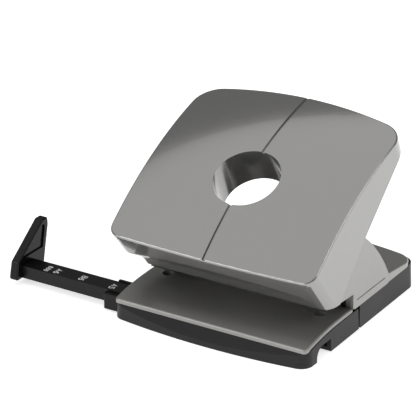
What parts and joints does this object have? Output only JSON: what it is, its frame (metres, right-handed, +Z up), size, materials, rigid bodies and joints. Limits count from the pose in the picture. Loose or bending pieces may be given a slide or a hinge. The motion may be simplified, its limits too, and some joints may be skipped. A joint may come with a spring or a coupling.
{
  "type": "hole punch",
  "caption": "Desk hole punch with a wide wedge-shaped handle, a round opening through it, a chip tray in the base and a sliding paper guide on the left.",
  "frame": {"origin": "on the surface the punch stands on, midway between its sides and midway between its front and rear corners", "axes": "+Z up, +Y from the paper side to the back, +X to the right of a user who faces the paper side; the paper guide slides along X on the left"},
  "size_m": [0.1634, 0.1145, 0.088],
  "materials": {
    "handle_gray": "glossy metallic gray moulding",
    "housing_gray": "satin metallic gray moulding",
    "plate_gray": "satin gray paint",
    "black_base": "fine satin texture",
    "black_guide": "satin",
    "black_gloss": "polished",
    "rubber_feet": "matte",
    "steel": "ground steel",
    "zinc_steel": "zinc plated sheet"
  },
  "bodies": {
    "base": {"rear_base": "black_base", "tray_hinge_pin": "steel", "rear_feet": "rubber_feet", "base_plate": "plate_gray", "die_left": "steel", "die_right": "steel", "punch_frame_left": "steel", "punch_frame_right": "steel", "frame_screws": "steel", "hinge_axle": "steel", "axle_clips": "steel", "housing": "housing_gray", "housing_screws": "steel", "rail_guide": "black_guide"},
    "tray": {"chip_tray": "black_base", "tray_feet": "rubber_feet"},
    "handle": {"handle_shell": "handle_gray", "handle_screws": "steel", "press_yoke": "zinc_steel"},
    "left_pin": {"punch_pin_left": "steel", "punch_spring_left": "steel"},
    "right_pin": {"punch_pin_right": "steel", "punch_spring_right": "steel"},
    "guide": {"guide_rail": "black_guide", "rail_stop": "black_gloss"}
  },
  "joints": [
    {"name": "handle_hinge", "type": "hinge", "parent": "base", "child": "handle", "pos_m": [0, -0.034, 0.0305], "axis": [-1, 0, 0], "range_deg": [0, 22]},
    {"name": "left_pin_slide", "type": "slide", "parent": "base", "child": "left_pin", "axis": [0, 0, -1], "range_m": [0, 0.0057], "stiffness_N_per_m": 300, "springref_m": -0.004, "deforming": ["punch_spring_left"]},
    {"name": "right_pin_slide", "type": "slide", "parent": "base", "child": "right_pin", "axis": [0, 0, -1], "range_m": [0, 0.0057], "stiffness_N_per_m": 300, "springref_m": -0.004, "deforming": ["punch_spring_right"]},
    {"name": "guide_slide", "type": "slide", "parent": "base", "child": "guide", "axis": [-1, 0, 0], "range_m": [-0.041, 0.0435]},
    {"name": "tray_hinge", "type": "hinge", "parent": "base", "child": "tray", "pos_m": [0, 0, 0.002], "axis": [1, 0, 0], "range_deg": [0, 35]}
  ],
  "couplings": [
    {"joint": "left_pin_slide", "follows": "handle_hinge", "m_per_rad": 0.014731},
    {"joint": "right_pin_slide", "follows": "handle_hinge", "m_per_rad": 0.014731}
  ]
}
